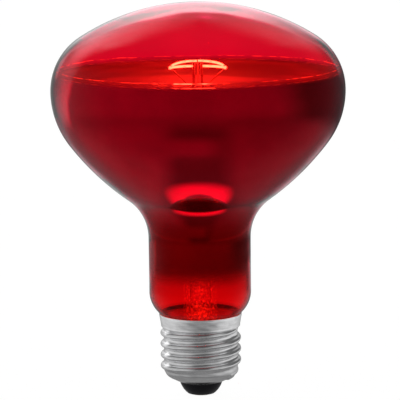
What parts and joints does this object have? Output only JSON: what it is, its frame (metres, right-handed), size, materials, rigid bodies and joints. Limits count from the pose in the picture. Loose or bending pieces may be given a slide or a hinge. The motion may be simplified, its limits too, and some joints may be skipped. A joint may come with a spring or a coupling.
{
  "type": "infrared heat lamp bulb",
  "caption": "Infrared heat lamp: a ruby glass reflector bulb with a clear dome, mirrored bowl, filament on a glass stem, and a screw cap with insulated centre contact.",
  "frame": {"origin": "on the lamp's axis, at the lowest face of the centre contact's solder", "axes": "+Z along the lamp's axis from the contact towards the dome, -Y towards the filament's gap"},
  "size_m": [0.095, 0.095, 0.1285],
  "materials": {
    "ruby_glass": "gloss",
    "mirror_film": "mirror",
    "cap_aluminium": "satin",
    "black_insulator": "gloss",
    "brass_contact": "satin",
    "solder": "satin",
    "basing_cement": "matte",
    "clear_glass": "gloss",
    "nickel_wire": "satin",
    "copper_wire": "satin",
    "support_wire": "satin",
    "filament_wire": "glowing"
  },
  "bodies": {
    "root": {"envelope": "ruby_glass", "mirror_coating": "mirror_film", "cap_shell": "cap_aluminium", "cap_insulator": "black_insulator", "contact_plate": "brass_contact", "contact_solder": "solder", "side_solder": "solder", "basing_cement": "basing_cement", "stem": "clear_glass", "exhaust_tube": "clear_glass", "support_rod": "clear_glass", "filament": "filament_wire", "inner_lead_left": "nickel_wire", "inner_lead_right": "nickel_wire", "centre_lead": "copper_wire", "side_lead": "copper_wire", "filament_support_right": "support_wire", "filament_support_back": "support_wire", "filament_support_left": "support_wire"}
  },
  "joints": []
}
